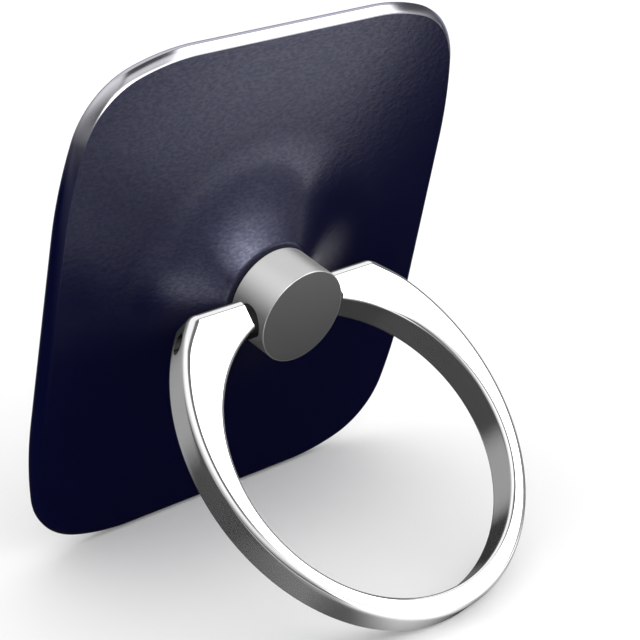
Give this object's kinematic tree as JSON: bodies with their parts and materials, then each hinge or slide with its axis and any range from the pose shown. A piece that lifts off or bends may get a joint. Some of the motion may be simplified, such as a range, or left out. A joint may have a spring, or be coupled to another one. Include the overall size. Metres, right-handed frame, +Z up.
{
  "type": "phone ring holder",
  "caption": "Finger ring and kickstand for the back of a phone: a rounded-square stick-on plate with a swivelling hub and a folding ring.",
  "frame": {"origin": "table level, at the middle of the standing holder's footprint", "axes": "+Z up from the table; +X along the ring's fold axis; -Y the way the plate's front and the ring face, so the sticky back faces +Y"},
  "size_m": [0.036, 0.0282, 0.039],
  "materials": {
    "navy_lacquer": "satin navy lacquer over a fine pebble grain, smooth and glossier on the rounded edge",
    "backing_steel": "plain rolled steel sheet",
    "gel_pad": "soft matt sticky gel, dark grey",
    "bearing_nylon": "black nylon, smooth",
    "satin_chrome": "satin chrome, finely turned",
    "bright_chrome": "polished chrome",
    "spring_steel": "bright zinc-plated steel",
    "dark_steel": "darkened steel",
    "black_nylon": "black nylon washer"
  },
  "bodies": {
    "plate": {"base_plate": "navy_lacquer", "backing_plate": "backing_steel", "adhesive_pad": "gel_pad", "swivel_bush": "bearing_nylon"},
    "hub": {"swivel_hub": "satin_chrome", "wave_washer": "spring_steel", "retaining_washer": "spring_steel", "retaining_screw": "spring_steel", "hinge_pin_left": "dark_steel", "hinge_pin_right": "dark_steel", "ear_spacer_left": "black_nylon", "ear_spacer_right": "black_nylon"},
    "ring": {"finger_ring": "bright_chrome"}
  },
  "joints": [
    {"name": "hub_swivel", "type": "hinge", "parent": "plate", "child": "hub", "pos_m": [0, 0.00445, 0.01847], "axis": [0, -0.9744, -0.2249], "continuous": true},
    {"name": "ring_fold", "type": "hinge", "parent": "hub", "child": "ring", "pos_m": [0, 0.00455, 0.01805], "axis": [1, 0, 0], "range_deg": [-126, 64]}
  ]
}
